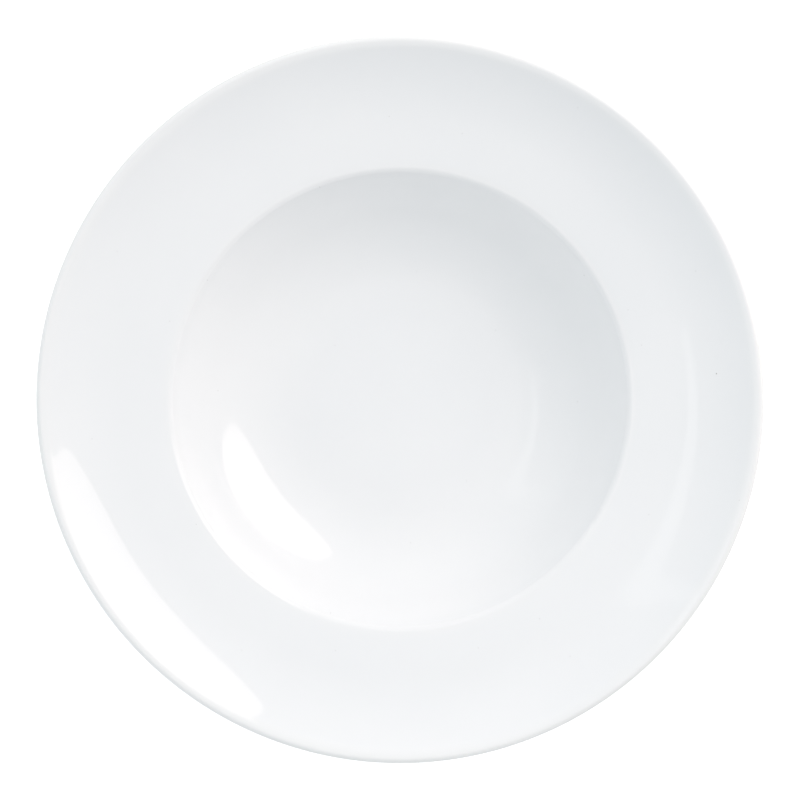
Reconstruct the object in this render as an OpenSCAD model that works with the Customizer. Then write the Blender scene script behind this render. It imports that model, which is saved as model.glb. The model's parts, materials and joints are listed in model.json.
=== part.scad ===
// Deep pasta plate with a wide upturned rim.
// A single pressed and fired porcelain body carries a coat of clear-white glaze.
// The glaze stops short of the foot ring, whose bearing face is left bare, so the
// coat over the plate and the glaze inside the foot ring are two separate layers.
// The plate is round about Z and stands on its foot ring at z = 0.

/* [Lip] */
// Diameter of the plate over its lip
plate_d = 300; // [270:1:330]
// Thickness of the rim at the lip
lip_t = 4; // [3.5:0.1:4.8]
// Radius of the wide rounding over the top of the lip
lip_top_r = 9.5; // [5:0.5:14]
// Radius of the tight rounding round the outer edge of the lip
lip_edge_r = 1.8; // [1.2:0.1:1.8]

/* [Rim] */
// Width of the straight inner part of the rim
rim_straight_w = 18; // [9:0.5:24]
// Slope of the rim beside the well, in degrees
rim_inner_slope = 12; // [4:0.5:16]
// Slope of the rim at the lip, in degrees
rim_lip_slope = 35; // [18:0.5:40]

/* [Well] */
// Diameter of the well where its rounded edge runs into the rim
well_d = 195; // [178:1:208]
// Depth of the well below that edge
well_depth = 33.5; // [27:0.5:40]
// Diameter of the flat floor
floor_d = 98; // [84:1:110]
// Radius of the rounded edge between the well and the rim
well_edge_r = 3.6; // [2:0.1:6]
// Thickness of the wall of the well and of the straight part of the rim
wall_t = 4.8; // [4:0.1:6]
// Thickness of the floor
floor_t = 5; // [4.2:0.1:7]
// Radius of the hollow under the rim, where it leaves the wall of the well
under_rim_r = 6; // [3:0.5:8]

/* [Foot ring] */
// Diameter of the foot ring at the middle of its bearing face
foot_d = 114; // [104:1:124]
// Width of the ground bearing face
foot_face_w = 2.4; // [1.5:0.1:4]
// Height of the base over the table, inside the foot ring
foot_h = 4.5; // [3.5:0.1:6]
// Lean of both sides of the foot ring, in degrees
foot_lean = 14; // [6:1:24]
// Radius of the two edges of the bearing face
foot_edge_r = 0.8; // [0.4:0.1:1.2]
// Radius of the fillets at the root of the foot ring
foot_root_r = 2.2; // [1:0.1:2.6]

/* [Glaze] */
// Thickness of the glaze
glaze_t = 0.3; // [0.2:0.05:0.5]
// Height over the table to which the foot ring is wiped bare
bare_h = 1.5; // [1.2:0.1:2]

/* [Hidden] */

// Number of sides of each round as it is displayed
$fn = 180;
// Largest gap between an arc of the profile and its chords
chord_gap = 0.015;
// Fewest chords in an arc of the profile
chord_least = 4;

// Well: the floor runs into one arc, and the arc into the rounded edge.
floor_r = floor_d / 2;
floor_z = foot_h + floor_t;
well_r = well_d / 2;
edge_z = floor_z + well_depth;
wall_run = well_r - floor_r + well_edge_r * sin(rim_inner_slope);
wall_climb = well_depth + well_edge_r * (1 - cos(rim_inner_slope));
wall_top_slope = 2 * atan2(wall_climb, wall_run);
wall_r = wall_run / sin(wall_top_slope) - well_edge_r;
wall_back_r = wall_r + wall_t;
wall_c = [floor_r, floor_z + wall_r];
edge_c = [well_r, edge_z] + well_edge_r * [sin(rim_inner_slope), -cos(rim_inner_slope)];

// Lip: the wide rounding over its top runs into the tight one, which stays under half its thickness.
lip_out_r = min(lip_edge_r, (lip_t - glaze_t) / 2);
lip_turn = acos((lip_top_r + lip_out_r - lip_t) / (lip_top_r - lip_out_r));
lip_meet_slope = rim_lip_slope - lip_turn;
lip_shift = (lip_top_r - lip_out_r) * [-sin(lip_meet_slope), cos(lip_meet_slope)];

// Rim: a straight part, then an arc that turns up to the lip.
straight_end = [well_r, edge_z] + rim_straight_w * [1, tan(rim_inner_slope)];
rim_end_r = plate_d / 2 - lip_out_r - lip_shift.x - lip_top_r * sin(rim_lip_slope);
rim_r = (rim_end_r - straight_end.x) / (sin(rim_lip_slope) - sin(rim_inner_slope));
rim_c = straight_end + rim_r * [-sin(rim_inner_slope), cos(rim_inner_slope)];
lip_top_c = rim_c + (rim_r + lip_top_r) * [sin(rim_lip_slope), -cos(rim_lip_slope)];
lip_edge_c = lip_top_c + lip_shift;

// Hollow under the rim, touching the back of the wall and of the straight part.
rim_down = [sin(rim_inner_slope), -cos(rim_inner_slope)];
rim_out = [cos(rim_inner_slope), sin(rim_inner_slope)];
hollow_start = [well_r, edge_z] + (wall_t + under_rim_r) * rim_down - wall_c;
hollow_c = wall_c + hollow_start + rim_out * far_touch(hollow_start, rim_out, wall_back_r + under_rim_r);
hollow_slope = atan2(hollow_c.x - wall_c.x, wall_c.y - hollow_c.y);

// Foot ring: the centres of its two edge rounds and of its two root fillets.
root_r = min(foot_root_r, (foot_h - bare_h - glaze_t) / (1 - sin(foot_lean)));
foot_out_c = [(foot_d + foot_face_w) / 2, foot_edge_r];
foot_in_c = [(foot_d - foot_face_w) / 2, foot_edge_r];
flank_up = [sin(foot_lean), cos(foot_lean)];
flank_out = [cos(foot_lean), -sin(foot_lean)];
root_gap = foot_edge_r + glaze_t + root_r;
root_start = foot_out_c + root_gap * flank_out - wall_c;
root_out_c = wall_c + root_start + flank_up * near_touch(root_start, flank_up, wall_back_r + root_r);
root_slope = atan2(root_out_c.x - wall_c.x, wall_c.y - root_out_c.y);
root_in_climb = (foot_h - root_r - foot_edge_r + root_gap * sin(foot_lean)) / cos(foot_lean);
root_in_c = foot_in_c + [-root_gap * cos(foot_lean) - root_in_climb * sin(foot_lean),
                         foot_h - root_r - foot_edge_r];

// Distances along the line start + t * way at which it lies at the given reach.
function touch_root(start, way, reach) = sqrt((start * way) ^ 2 - start * start + reach ^ 2);
function near_touch(start, way, reach) = -start * way - touch_root(start, way, reach);
function far_touch(start, way, reach) = -start * way + touch_root(start, way, reach);

// Number of chords in an arc.
function chords(r, turn) = max(chord_least, ceil(abs(turn) / (2 * acos(1 - chord_gap / r))));

// Points of an arc from one direction to another, leaving out the first few.
function arc(c, r, from, to, skip = 0) =
    let (n = chords(r, to - from))
    [for (i = [skip : n]) let (a = from + (to - from) * i / n) c + r * [cos(a), sin(a)]];

// Back of the curved rim, which thins from the wall's thickness to the lip's.
function rim_back(inset) =
    let (n = chords(rim_r, rim_lip_slope - rim_inner_slope))
    [for (i = [0 : n])
        let (a = rim_lip_slope + (rim_inner_slope - rim_lip_slope) * i / n,
             t = lip_t + (wall_t - lip_t) * i / n)
        rim_c + (rim_r + t - inset) * [sin(a), -cos(a)]];

// Side of the foot ring at a height over the table, out from its edge round.
function flank_r(z, out) = (z - foot_edge_r) * tan(foot_lean) + out / cos(foot_lean);

// Outline from the middle of the floor over the lip and down to the end of the
// coat on the foot ring. Inset 0 follows the outside of the glaze.
function coat_path(inset) =
    let (end_z = bare_h + glaze_t - inset, end_out = foot_edge_r + glaze_t - inset)
    concat(
        [[0, floor_z - inset]],
        arc(wall_c, wall_r + inset, -90, wall_top_slope - 90),
        arc(edge_c, well_edge_r - inset, wall_top_slope + 90, rim_inner_slope + 90, 1),
        arc(rim_c, rim_r + inset, rim_inner_slope - 90, rim_lip_slope - 90),
        arc(lip_top_c, lip_top_r - inset, rim_lip_slope + 90, lip_meet_slope + 90, 1),
        arc(lip_edge_c, lip_out_r - inset, lip_meet_slope + 90, rim_lip_slope - 90, 1),
        rim_back(inset),
        arc(hollow_c, under_rim_r + inset, rim_inner_slope + 90, hollow_slope + 90),
        arc(wall_c, wall_back_r - inset, hollow_slope - 90, root_slope - 90, 1),
        arc(root_out_c, root_r + inset, root_slope + 90, 180 - foot_lean, 1),
        [[foot_out_c.x + flank_r(end_z, end_out), end_z]]);

// Outline from the end of the glaze inside the foot ring to the middle of the base.
function base_path(inset) =
    let (end_z = bare_h + glaze_t - inset, end_out = foot_edge_r + glaze_t - inset)
    concat(
        [[foot_in_c.x - flank_r(end_z, end_out), end_z]],
        arc(root_in_c, root_r + inset, foot_lean, 90),
        [[0, foot_h + inset]]);

function backwards(path) = [for (i = [len(path) - 1 : -1 : 0]) path[i]];

// The fired clay: floor, well, rim and foot ring pressed as one piece.
module porcelain_body() {
    color([0.93, 0.92, 0.90])
        rotate_extrude()
            polygon(concat(
                coat_path(glaze_t),
                arc(foot_out_c, foot_edge_r, -foot_lean, -90),
                arc(foot_in_c, foot_edge_r, -90, foot_lean - 180),
                base_path(glaze_t)));
}

// The glaze over the face, round the lip and down the back to the foot ring.
module glaze_coat() {
    color([0.94, 0.95, 0.96])
        rotate_extrude()
            polygon(concat(coat_path(0), backwards(coat_path(glaze_t))));
}

// The glaze on the base, inside the bare foot ring.
module base_glaze() {
    color([0.92, 0.94, 0.95])
        rotate_extrude()
            polygon(concat(base_path(0), backwards(base_path(glaze_t))));
}

porcelain_body();
glaze_coat();
base_glaze();
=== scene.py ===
import bpy
import json
import math
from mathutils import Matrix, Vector


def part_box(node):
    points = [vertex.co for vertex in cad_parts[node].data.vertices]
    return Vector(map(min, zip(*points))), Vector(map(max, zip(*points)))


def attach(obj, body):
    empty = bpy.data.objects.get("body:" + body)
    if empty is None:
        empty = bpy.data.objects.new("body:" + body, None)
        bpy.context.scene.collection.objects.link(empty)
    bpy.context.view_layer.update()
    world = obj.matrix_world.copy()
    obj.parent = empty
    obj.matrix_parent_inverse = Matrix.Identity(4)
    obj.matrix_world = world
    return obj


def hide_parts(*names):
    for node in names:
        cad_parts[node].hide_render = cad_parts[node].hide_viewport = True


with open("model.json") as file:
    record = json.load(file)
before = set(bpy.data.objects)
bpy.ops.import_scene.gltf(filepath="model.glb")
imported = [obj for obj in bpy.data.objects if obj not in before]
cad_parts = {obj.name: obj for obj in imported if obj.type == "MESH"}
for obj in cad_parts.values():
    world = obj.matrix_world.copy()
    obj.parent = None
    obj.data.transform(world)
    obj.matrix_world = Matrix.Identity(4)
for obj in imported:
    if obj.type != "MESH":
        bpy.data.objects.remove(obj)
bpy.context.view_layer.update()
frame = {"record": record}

# Fired body: white porcelain clay, pressed to shape in a mould and fired hard.
# Floor, well, rim, lip and foot ring are one piece. Glaze hides all of it but the
# foot ring, whose bearing face is wiped clean before firing and then ground flat.
glaze_t = 0.0003
wall_t = 0.0048
lip_t = 0.004
lip_top_r = 0.0095
lip_edge_r = 0.0018
floor_r = 0.049
well_r = 0.0975
well_depth = 0.0335
well_edge_r = 0.0036
under_rim_r = 0.006
rim_straight_w = 0.018
rim_inner_slope = math.radians(12)
rim_lip_slope = math.radians(35)
foot_face_w = 0.0024
foot_edge_r = 0.0008
foot_root_r = 0.0022
foot_lean = math.radians(14)
quarter = math.radians(90)
round_steps = 288
weld_gap = 0.00001

mount_place = {mount["name"]: Vector(mount["pos_m"]) for mount in frame["record"]["mounts"]}
plate_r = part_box("glaze_coat")[1].x
floor_z = mount_place["well_floor"].z
foot_mean_r = mount_place["foot"].x
bare_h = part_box("base_glaze")[0].z
foot_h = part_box("base_glaze")[1].z - glaze_t


def ahead(angle):
    """One step along a line of the half-section that climbs at this angle."""
    return Vector((math.cos(angle), 0, math.sin(angle)))


def below(angle):
    """One step square to that line, down and out of the plate's face."""
    return Vector((math.sin(angle), 0, -math.cos(angle)))


# Face: the floor runs into the wall's arc, over the well's edge, up the rim and over the lip.
edge_z = floor_z + well_depth
wall_run = well_r - floor_r + well_edge_r * math.sin(rim_inner_slope)
wall_climb = well_depth + well_edge_r * (1 - math.cos(rim_inner_slope))
wall_slope = 2 * math.atan2(wall_climb, wall_run)
wall_r = wall_run / math.sin(wall_slope) - well_edge_r
wall_c = Vector((floor_r, 0, floor_z + wall_r))
rim_start = Vector((well_r, 0, edge_z))
edge_c = rim_start + well_edge_r * below(rim_inner_slope)
straight_end = rim_start + rim_straight_w / math.cos(rim_inner_slope) * ahead(rim_inner_slope)
lip_turn = math.acos((lip_top_r + lip_edge_r - lip_t) / (lip_top_r - lip_edge_r))
lip_shift = (lip_top_r - lip_edge_r) * ahead(quarter - lip_turn + rim_lip_slope)
rim_end_r = plate_r - lip_edge_r - lip_shift.x - lip_top_r * math.sin(rim_lip_slope)
rim_r = (rim_end_r - straight_end.x) / (math.sin(rim_lip_slope) - math.sin(rim_inner_slope))
rim_c = straight_end - rim_r * below(rim_inner_slope)
lip_top_c = rim_c + (rim_r + lip_top_r) * below(rim_lip_slope)
lip_edge_c = lip_top_c + lip_shift


def touching(start, way, reach, side):
    """The point along a line from start that lies at this reach from the wall's centre."""
    offset = start - wall_c
    half = offset.dot(way)
    return start + way * (side * math.sqrt(half ** 2 - offset.dot(offset) + reach ** 2) - half)


# Back: a hollow under the rim, the back of the wall, and the foot ring with its fillets.
wall_back_r = wall_r + wall_t
hollow_start = rim_start + (wall_t + under_rim_r) * below(rim_inner_slope)
hollow_c = touching(hollow_start, ahead(rim_inner_slope), wall_back_r + under_rim_r, 1)
hollow_slope = math.atan2(hollow_c.x - wall_c.x, wall_c.z - hollow_c.z)
foot_out_c = Vector((foot_mean_r + foot_face_w / 2, 0, foot_edge_r))
foot_in_c = Vector((foot_mean_r - foot_face_w / 2, 0, foot_edge_r))
flank_up = Vector((math.sin(foot_lean), 0, math.cos(foot_lean)))
flank_out = Vector((math.cos(foot_lean), 0, -math.sin(foot_lean)))
root_gap = foot_edge_r + glaze_t + foot_root_r
root_c = touching(foot_out_c + root_gap * flank_out, flank_up, wall_back_r + foot_root_r, -1)
root_slope = math.atan2(root_c.x - wall_c.x, wall_c.z - root_c.z)
inner_up = Vector((-flank_up.x, 0, flank_up.z))
inner_out = Vector((-flank_out.x, 0, flank_out.z))
inner_start = foot_in_c + root_gap * inner_out
inner_c = inner_start + inner_up * ((foot_h - foot_root_r - inner_start.z) / inner_up.z)

pen = Vector((0, 0, 0))


def start_outline(name, place):
    """A new piece, begun as one point of its half-section."""
    bpy.ops.object.select_all(action="DESELECT")
    bpy.ops.mesh.primitive_plane_add(size=floor_r)
    piece = bpy.context.object
    piece.name = name
    piece.data.name = name
    bpy.ops.object.mode_set(mode="EDIT")
    bpy.ops.mesh.select_mode(type="VERT")
    bpy.ops.mesh.select_all(action="SELECT")
    bpy.ops.mesh.merge(type="CENTER")
    bpy.ops.transform.translate(value=place)
    pen.xyz = place
    return piece


def line_to(place, steps=1):
    """Draws the half-section straight on to a place."""
    stride = (place - pen) / steps
    for _ in range(steps):
        bpy.ops.mesh.extrude_region_move(TRANSFORM_OT_translate={"value": stride})
    pen.xyz = place


def round_by(centre, turn, steps):
    """Draws the half-section on round a centre, turning left where turn is positive."""
    bpy.ops.mesh.spin(steps=steps, angle=turn, center=centre, axis=(0, 1, 0))
    arm = pen - centre
    pen.x = centre.x + arm.x * math.cos(turn) - arm.z * math.sin(turn)
    pen.z = centre.z + arm.x * math.sin(turn) + arm.z * math.cos(turn)


def draw_face_and_back(inset):
    """From the middle of the floor over the lip to the foot ring's outer side."""
    line_to(Vector((floor_r, 0, floor_z - inset)), steps=10)
    round_by(wall_c, wall_slope, steps=40)
    round_by(edge_c, rim_inner_slope - wall_slope, steps=10)
    line_to(straight_end + inset * below(rim_inner_slope), steps=5)
    round_by(rim_c, rim_lip_slope - rim_inner_slope, steps=22)
    round_by(lip_top_c, -lip_turn, steps=10)
    round_by(lip_edge_c, lip_turn - 2 * quarter, steps=14)
    line_to(rim_c + (rim_r + lip_t - inset) * below(rim_lip_slope), steps=2)
    back_end = straight_end + (wall_t - inset) * below(rim_inner_slope)
    chord = pen - back_end
    half_turn = math.atan2(-chord.dot(below(rim_inner_slope)), chord.dot(ahead(rim_inner_slope)))
    back_c = back_end - chord.length / 2 / math.sin(half_turn) * below(rim_inner_slope)
    round_by(back_c, -2 * half_turn, steps=14)
    line_to(hollow_c - (under_rim_r + inset) * below(rim_inner_slope))
    round_by(hollow_c, hollow_slope - rim_inner_slope, steps=7)
    round_by(wall_c, root_slope - hollow_slope, steps=18)
    round_by(root_c, quarter - foot_lean - root_slope, steps=6)


def turn_on_wheel(piece):
    """Spins the half-section round the plate's axis into a closed, smooth form."""
    bpy.ops.mesh.select_all(action="SELECT")
    bpy.ops.mesh.spin(steps=round_steps, angle=4 * quarter, center=(0, 0, 0), axis=(0, 0, 1))
    bpy.ops.mesh.select_all(action="SELECT")
    bpy.ops.mesh.remove_doubles(threshold=weld_gap)
    bpy.ops.mesh.normals_make_consistent(inside=False)
    bpy.ops.object.mode_set(mode="OBJECT")
    bpy.ops.object.shade_smooth()


fired_body = start_outline("fired_body", Vector((0, 0, floor_z - glaze_t)))
draw_face_and_back(glaze_t)
line_to(foot_out_c + foot_edge_r * flank_out, steps=3)
round_by(foot_out_c, foot_lean - quarter, steps=5)
line_to(foot_in_c - Vector((0, 0, foot_edge_r)), steps=3)
round_by(foot_in_c, foot_lean - quarter, steps=5)
line_to(inner_c - (foot_root_r + glaze_t) * inner_out, steps=3)
round_by(inner_c, quarter - foot_lean, steps=6)
line_to(Vector((0, 0, foot_h + glaze_t)), steps=6)
turn_on_wheel(fired_body)

clay_dim = (0.71, 0.69, 0.65, 1)
clay_pale = (0.81, 0.80, 0.77, 1)
no_flush = (1, 1, 1, 1)
tan_flush = (0.96, 0.90, 0.83, 1)
worn_grey = (0.57, 0.56, 0.545, 1)
ground_h = 0.00005
ground_end_h = 0.00025


def add_node(tree, kind, values, **choices):
    """A new shader node with its choices made and its sockets linked or filled."""
    node = tree.nodes.new("ShaderNode" + kind)
    for name, choice in choices.items():
        setattr(node, name, choice)
    for socket, value in values.items():
        if isinstance(value, bpy.types.NodeSocket):
            tree.links.new(value, node.inputs[socket])
        else:
            node.inputs[socket].default_value = value
    return node


def add_ramp(tree, value, *stops):
    """The colour read at a value between stops, each a place and its colour."""
    ramp = add_node(tree, "ValToRGB", {"Fac": value})
    marks = ramp.color_ramp.elements
    marks[0].position, marks[0].color = stops[0]
    marks[1].position, marks[1].color = stops[-1]
    for position, colour in stops[1:-1]:
        marks.new(position).color = colour
    return ramp.outputs["Color"]


def bare_porcelain():
    """Unglazed porcelain: warm matte white, sandy, ground in rings on its bearing face."""
    material = bpy.data.materials.new("bare_porcelain")
    material.use_nodes = True
    tree = material.node_tree
    shader = tree.nodes["Principled BSDF"]
    shader.inputs["IOR"].default_value = 1.5
    place = tree.nodes.new("ShaderNodeTexCoord").outputs["Object"]
    height = add_node(tree, "SeparateXYZ", {"Vector": place}).outputs["Z"]

    blotch = add_node(tree, "TexNoise", {"Vector": place, "Scale": 90, "Detail": 4})
    tone = add_ramp(tree, blotch.outputs["Fac"], (0.3, clay_dim), (0.7, clay_pale))

    # A narrow tan flush, burnt into the clay beside the end of the glaze.
    climb = add_node(tree, "MapRange", {"Value": height, "From Max": bare_h + glaze_t})
    flush = add_ramp(tree, climb.outputs["Result"], (0.5, no_flush), (0.85, tan_flush))
    clay = add_node(tree, "MixRGB", {"Fac": 1, "Color1": tone, "Color2": flush},
                    blend_type="MULTIPLY")

    # The ground face, greyed in patches where it has slid over tables.
    ground = add_node(tree, "MapRange", {"Value": height, "From Min": ground_h,
                                         "From Max": ground_end_h, "To Min": 1, "To Max": 0})
    slide = add_node(tree, "TexNoise", {"Vector": place, "Scale": 140, "Detail": 6})
    patch = add_node(tree, "MapRange", {"Value": slide.outputs["Fac"], "From Min": 0.45,
                                        "From Max": 0.7, "To Max": 0.6})
    worn = add_node(tree, "Math", {0: ground.outputs["Result"], 1: patch.outputs["Result"]},
                    operation="MULTIPLY")
    face = add_node(tree, "MixRGB", {"Fac": worn.outputs[0], "Color1": clay.outputs["Color"],
                                     "Color2": worn_grey})
    tree.links.new(face.outputs["Color"], shader.inputs["Base Color"])

    # A sandy grain all over, with the grinding stone's fine rings on the flat face.
    grain = add_node(tree, "TexNoise", {"Vector": place, "Scale": 4500, "Detail": 2})
    sheen = add_node(tree, "MapRange", {"Value": grain.outputs["Fac"],
                                        "To Min": 0.55, "To Max": 0.8})
    tree.links.new(sheen.outputs["Result"], shader.inputs["Roughness"])
    rings = add_node(tree, "TexWave", {"Vector": place, "Scale": 900, "Distortion": 3, "Detail": 2},
                     wave_type="RINGS", rings_direction="Z")
    cut = add_node(tree, "Math", {0: rings.outputs["Fac"], 1: ground.outputs["Result"]},
                   operation="MULTIPLY")
    relief = add_node(tree, "Math", {0: grain.outputs["Fac"], 1: cut.outputs[0]}, operation="ADD")
    bump = add_node(tree, "Bump", {"Height": relief.outputs[0], "Strength": 0.35,
                                   "Distance": 0.00006})
    tree.links.new(bump.outputs["Normal"], shader.inputs["Normal"])
    return material


fired_body.data.materials.append(bare_porcelain())
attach(fired_body, "root")
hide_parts("porcelain_body")

# Glaze coat: a third of a millimetre of white glass melted over the face, round the
# lip and down the back. It ends in a line on the outer side of the foot ring, where
# the wet glaze was wiped off.
end_face_h = 1.1 * glaze_t
end_zone_h = 2 * glaze_t
end_round = 0.0002
end_wander = 0.0007
wiped_line = bpy.data.textures.new("wiped_line", "CLOUDS")
wiped_line.noise_scale = 0.012


def flank_end(centre, out, up):
    """Where the glaze stops on a side of the foot ring."""
    start = centre + (foot_edge_r + glaze_t) * out
    return start + up * ((bare_h + glaze_t - start.z) / up.z)


def glaze_skin(piece):
    """Gives a lathed sheet the thickness of the glaze, inwards."""
    thickness = piece.modifiers.new("glaze thickness", "SOLIDIFY")
    thickness.thickness = glaze_t
    thickness.offset = -1
    bpy.ops.object.modifier_apply(modifier=thickness.name)


def melt_end(piece):
    """Rounds the wiped end of the glaze as it melts, and lets it wander a little."""
    bpy.ops.object.mode_set(mode="EDIT")
    bpy.ops.mesh.select_all(action="DESELECT")
    bpy.ops.object.mode_set(mode="OBJECT")
    for corner in piece.data.vertices:
        corner.select = corner.co.z < bare_h + end_face_h
    bpy.ops.object.mode_set(mode="EDIT")
    bpy.ops.mesh.bevel(offset=end_round, segments=3, affect="EDGES")
    bpy.ops.object.mode_set(mode="OBJECT")
    bpy.ops.object.shade_smooth()
    low = [corner.index for corner in piece.data.vertices if corner.co.z < bare_h + end_zone_h]
    end = piece.vertex_groups.new(name="wiped end")
    end.add(low, 1, "REPLACE")
    wander = piece.modifiers.new("wiped line", "DISPLACE")
    wander.vertex_group = end.name
    wander.direction = "Z"
    wander.texture = wiped_line
    wander.texture_coords = "LOCAL"
    wander.strength = end_wander
    bpy.ops.object.modifier_apply(modifier=wander.name)


glaze_coat = start_outline("glaze_over_plate", Vector((0, 0, floor_z)))
draw_face_and_back(0)
line_to(flank_end(foot_out_c, flank_out, flank_up), steps=2)
turn_on_wheel(glaze_coat)
glaze_skin(glaze_coat)
melt_end(glaze_coat)

glaze_dim = (0.888, 0.897, 0.906, 1)
glaze_pale = (0.901, 0.908, 0.915, 1)
even = (1, 1, 1, 1)
# Painted light on the well's wall, a brighter colour against its shade.
painted_well_light = (1.021, 1.019, 1.017, 1)
thin_on_edge = (1.005, 1.001, 0.997, 1)
thin_on_lip = (1.012, 1.004, 0.990, 1)
iron_brown = (0.30, 0.28, 0.26, 1)
speck_at = Vector((0.1312, 0.0107, 0))
speck_at.z = rim_c.z - math.sqrt(rim_r ** 2 - (speck_at.length - rim_c.x) ** 2)
speck_r = 0.0001
speck_end_r = 0.00035


def white_glaze():
    """Clear glass over white porcelain: cool white, glossy, faintly uneven."""
    material = bpy.data.materials.new("white_glaze")
    material.use_nodes = True
    tree = material.node_tree
    shader = tree.nodes["Principled BSDF"]
    shader.inputs["IOR"].default_value = 1.52
    place = tree.nodes.new("ShaderNodeTexCoord").outputs["Object"]

    # The clay shows through the glass in faint, wide clouds.
    cloud = add_node(tree, "TexNoise", {"Vector": place, "Scale": 16, "Detail": 3})
    tone = add_ramp(tree, cloud.outputs["Fac"], (0.35, glaze_dim), (0.65, glaze_pale))

    # Painted light: the curve of the well is coloured a little brighter against its shade. The glass
    # thins over edge and lip.
    plan = add_node(tree, "VectorMath", {0: place, 1: (1, 1, 0)}, operation="MULTIPLY")
    reach = add_node(tree, "VectorMath", {0: plan.outputs["Vector"]}, operation="LENGTH")
    share = add_node(tree, "Math", {0: reach.outputs["Value"], 1: plate_r}, operation="DIVIDE")
    thin_glaze_and_painted_light = add_ramp(tree, share.outputs[0], (0.25, even), (0.34, painted_well_light), (0.628, painted_well_light),
                    (0.645, thin_on_edge), (0.668, even), (0.955, even), (1, thin_on_lip))
    glass = add_node(tree, "MixRGB", {"Fac": 1, "Color1": tone, "Color2": thin_glaze_and_painted_light},
                     blend_type="MULTIPLY")

    # Iron specks in the clay, a few pale ones and one dark one on the right of the rim.
    cells = add_node(tree, "TexVoronoi", {"Vector": place, "Scale": 21}, voronoi_dimensions="2D")
    pale = add_node(tree, "MapRange", {"Value": cells.outputs["Distance"], "From Min": 0.002,
                                       "From Max": 0.006, "To Min": 0.25, "To Max": 0})
    away = add_node(tree, "VectorMath", {0: place, 1: speck_at}, operation="DISTANCE")
    dark = add_node(tree, "MapRange", {"Value": away.outputs["Value"], "From Min": speck_r,
                                       "From Max": speck_end_r, "To Min": 0.9, "To Max": 0})
    speck = add_node(tree, "Math", {0: pale.outputs["Result"], 1: dark.outputs["Result"]},
                     operation="MAXIMUM")
    clay = add_node(tree, "MixRGB", {"Fac": speck.outputs[0], "Color1": glass.outputs["Color"],
                                     "Color2": iron_brown})
    tree.links.new(clay.outputs["Color"], shader.inputs["Base Color"])

    # Gloss: almost a mirror, dulled a little in patches by use.
    rub = add_node(tree, "TexNoise", {"Vector": place, "Scale": 55, "Detail": 5})
    gloss = add_node(tree, "MapRange", {"Value": rub.outputs["Fac"], "From Min": 0.3,
                                        "From Max": 0.7, "To Min": 0.02, "To Max": 0.04})
    tree.links.new(gloss.outputs["Result"], shader.inputs["Roughness"])

    # Slow waves left by the mould and fine ripples where the glass set.
    wave = add_node(tree, "TexNoise", {"Vector": place, "Scale": 30, "Detail": 1})
    ripple = add_node(tree, "TexNoise", {"Vector": place, "Scale": 420, "Detail": 1})
    slow = add_node(tree, "Bump", {"Height": wave.outputs["Fac"], "Distance": 0.00004})
    fine = add_node(tree, "Bump", {"Height": ripple.outputs["Fac"], "Distance": 0.000002,
                                   "Normal": slow.outputs["Normal"]})
    tree.links.new(fine.outputs["Normal"], shader.inputs["Normal"])
    return material


glaze_material = white_glaze()
glaze_coat.data.materials.append(glaze_material)
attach(glaze_coat, "root")
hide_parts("glaze_coat")

# Base glaze: the same glass, melted onto the base inside the foot ring. The bare ring
# parts it from the coat, so it is a layer of its own.
base_glaze = start_outline("glaze_in_foot", flank_end(foot_in_c, inner_out, inner_up))
line_to(inner_c - foot_root_r * inner_out, steps=2)
round_by(inner_c, quarter - foot_lean, steps=6)
line_to(Vector((0, 0, foot_h)), steps=10)
turn_on_wheel(base_glaze)
glaze_skin(base_glaze)
melt_end(base_glaze)
base_glaze.data.materials.append(glaze_material)
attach(base_glaze, "root")
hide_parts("base_glaze")

# Floor: a plain sweep of white paper, a little paler to the lower left. It is shown
# white to the camera and still takes the plate's shadow.
floor_w = 12
paper_side = (-0.8, -0.6, 0)
paper_reach = 0.25
paper_dim = 0.68
paper_pale = 0.95
paper_shown = 0.60
bpy.ops.object.select_all(action="DESELECT")
bpy.ops.mesh.primitive_plane_add(size=floor_w)
floor = bpy.context.object
floor.name = "floor"
floor_paper = bpy.data.materials.new("floor_paper")
floor_paper.use_nodes = True
paper_tree = floor_paper.node_tree
paper_tree.nodes.remove(paper_tree.nodes["Principled BSDF"])
paper_place = paper_tree.nodes.new("ShaderNodeTexCoord").outputs["Object"]
across = add_node(paper_tree, "VectorMath", {0: paper_place, 1: paper_side}, operation="DOT_PRODUCT")
paper_tone = add_node(paper_tree, "MapRange", {"Value": across.outputs["Value"],
                                               "From Min": -paper_reach, "From Max": paper_reach,
                                               "To Min": paper_dim, "To Max": paper_pale})
paper = add_node(paper_tree, "BsdfDiffuse", {"Color": paper_tone.outputs["Result"]})
rays = paper_tree.nodes.new("ShaderNodeLightPath")
seen = add_node(paper_tree, "Math", {0: rays.outputs["Is Camera Ray"],
                                     1: rays.outputs["Is Glossy Ray"]}, operation="MAXIMUM")
shown = add_node(paper_tree, "Math", {0: seen.outputs[0],
                                      1: rays.outputs["Is Transmission Ray"]}, operation="MAXIMUM")
level = add_node(paper_tree, "Math", {0: shown.outputs[0], 1: paper_shown}, operation="MULTIPLY")
glow = add_node(paper_tree, "Emission", {"Strength": level.outputs[0]})
both = add_node(paper_tree, "AddShader", {0: paper.outputs[0], 1: glow.outputs[0]})
paper_tree.links.new(both.outputs[0], paper_tree.nodes["Material Output"].inputs["Surface"])
floor.data.materials.append(floor_paper)

# Key light: an eight-sided soft box with round corners to the upper right, brightest in
# its middle. The glaze shows it as the bright patches on the lower left of rim and well.
key_distance = 1.2
key_turn = math.radians(37.2)
key_lean = math.radians(54.75)
key_way = Vector((math.sin(key_lean) * math.cos(key_turn),
                  math.sin(key_lean) * math.sin(key_turn),
                  math.cos(key_lean)))
key_r = 0.539
key_corner = 0.13
key_spin = math.radians(22.5)
key_stretch = 1.02
key_mid = 3.515
key_edge = 2.355
key_colour = (1, 0.925, 0.895, 1)


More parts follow.
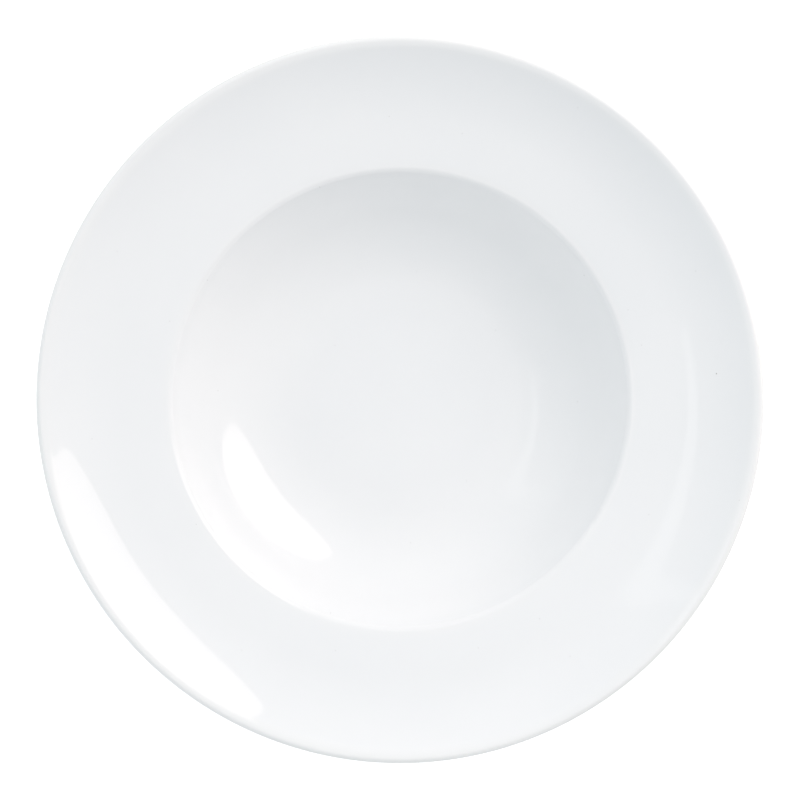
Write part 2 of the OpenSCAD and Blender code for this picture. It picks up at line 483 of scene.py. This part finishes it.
def glowing(name, values):
    """A material that only gives light."""
    material = bpy.data.materials.new(name)
    material.use_nodes = True
    tree = material.node_tree
    tree.nodes.remove(tree.nodes["Principled BSDF"])
    lamp = add_node(tree, "Emission", values)
    tree.links.new(lamp.outputs[0], tree.nodes["Material Output"].inputs["Surface"])
    return material


bpy.ops.object.select_all(action="DESELECT")
bpy.ops.mesh.primitive_circle_add(vertices=8, radius=key_r, fill_type="NGON")
soft_box = bpy.context.object
soft_box.name = "soft_box"
bpy.ops.object.mode_set(mode="EDIT")
bpy.ops.mesh.select_all(action="SELECT")
bpy.ops.transform.rotate(value=key_spin, orient_axis="Z", center_override=(0, 0, 0))
bpy.ops.transform.resize(value=(1, key_stretch, 1), center_override=(0, 0, 0))
bpy.ops.mesh.bevel(offset=key_corner, segments=4, affect="VERTICES")
bpy.ops.object.mode_set(mode="OBJECT")
soft_box.location = key_way * key_distance
soft_box.rotation_euler = (0, key_lean, key_turn)
soft_box.visible_camera = False
box_light = glowing("soft_box_light", {"Color": key_colour})
box_tree = box_light.node_tree
box_place = box_tree.nodes.new("ShaderNodeTexCoord").outputs["Object"]
square = add_node(box_tree, "VectorMath", {0: box_place, 1: box_place}, operation="DOT_PRODUCT")
fade = add_node(box_tree, "MapRange", {"Value": square.outputs["Value"], "From Max": key_r ** 2,
                                       "To Min": key_mid, "To Max": key_edge})
box_tree.links.new(fade.outputs["Result"], box_tree.nodes["Emission"].inputs["Strength"])
soft_box.data.materials.append(box_light)

# Side strips: two slim lights over the left, drawn in the glaze as fine lines on the
# right of the well and of the rim. The near one is cut slanting and tapers to one end.
strip_level = 1.5
near_place = (-0.101, 0.037, 0.45)
near_turn = math.radians(17.6)
near_size = (0.119, 0.121, 1)
near_taper = 0.285
near_slant = math.radians(45)
near_head = (0, near_size[1] / 2, 0)
far_place = (-0.82, 0.55, 0.7)
far_turn = math.radians(149)
far_size = (1.35, 0.05, 1)
strip_light = glowing("strip_light", {"Strength": strip_level})
bpy.ops.object.select_all(action="DESELECT")
bpy.ops.mesh.primitive_plane_add(size=1)
near_strip = bpy.context.object
near_strip.name = "near_strip"
bpy.ops.object.mode_set(mode="EDIT")
bpy.ops.transform.resize(value=near_size, center_override=(0, 0, 0))
bpy.ops.mesh.select_all(action="DESELECT")
bpy.ops.object.mode_set(mode="OBJECT")
for corner in near_strip.data.vertices:
    corner.select = corner.co.y < 0
bpy.ops.object.mode_set(mode="EDIT")
bpy.ops.transform.resize(value=(near_taper, 1, 1), center_override=(0, 0, 0))
bpy.ops.mesh.select_all(action="INVERT")
bpy.ops.transform.rotate(value=near_slant, orient_axis="Z", center_override=near_head)
bpy.ops.object.mode_set(mode="OBJECT")
near_strip.location = near_place
near_strip.rotation_euler.z = near_turn
near_strip.visible_camera = False
near_strip.data.materials.append(strip_light)
bpy.ops.object.select_all(action="DESELECT")
bpy.ops.mesh.primitive_plane_add(size=1, location=far_place, rotation=(0, 0, far_turn))
far_strip = bpy.context.object
far_strip.name = "far_strip"
far_strip.scale = far_size
far_strip.visible_camera = False
far_strip.data.materials.append(strip_light)

# Room light: pale walls all round, brightest to the upper left, under a dimmer ceiling.
# The levels run from the horizon to straight overhead.
room_tint = (0.966, 1.002, 1.024, 1)
room_side = (-0.125, 0.148, 0)
room_levels = ((0, 0.705), (0.26, 0.775), (0.5, 0.905), (0.74, 0.855), (0.93, 0.71), (1, 0.63))
room_stops = [(at, (grey, grey, grey, 1)) for at, grey in room_levels]
world = bpy.data.worlds.new("room")
world.use_nodes = True
room_tree = world.node_tree
way = room_tree.nodes.new("ShaderNodeTexCoord").outputs["Generated"]
climb = add_node(room_tree, "SeparateXYZ", {"Vector": way})
room_level = add_ramp(room_tree, climb.outputs["Z"], *room_stops)
side = add_node(room_tree, "VectorMath", {0: way, 1: room_side}, operation="DOT_PRODUCT")
gain = add_node(room_tree, "Math", {0: side.outputs["Value"], 1: 1}, operation="ADD")
power = add_node(room_tree, "Math", {0: room_level, 1: gain.outputs[0]}, operation="MULTIPLY")
sky = room_tree.nodes["Background"]
sky.inputs["Color"].default_value = room_tint
room_tree.links.new(power.outputs[0], sky.inputs["Strength"])
bpy.context.scene.world = world

# Camera: straight above the plate, as the photograph was taken, at the height that
# gives the plate's outline its radius there in pixels.
lens_mm = 135
sensor_mm = 36
image_w = 800
outline_px = 363.85
camera_data = bpy.data.cameras.new("camera")
camera_data.lens = lens_mm
camera_data.sensor_width = sensor_mm
camera = bpy.data.objects.new("camera", camera_data)
lip_span = outline_px / image_w * sensor_mm / lens_mm
camera.location = (0, 0, lip_edge_c.z + plate_r / lip_span)
bpy.context.collection.objects.link(camera)
bpy.context.scene.camera = camera
bpy.context.scene.view_settings.view_transform = "Standard"
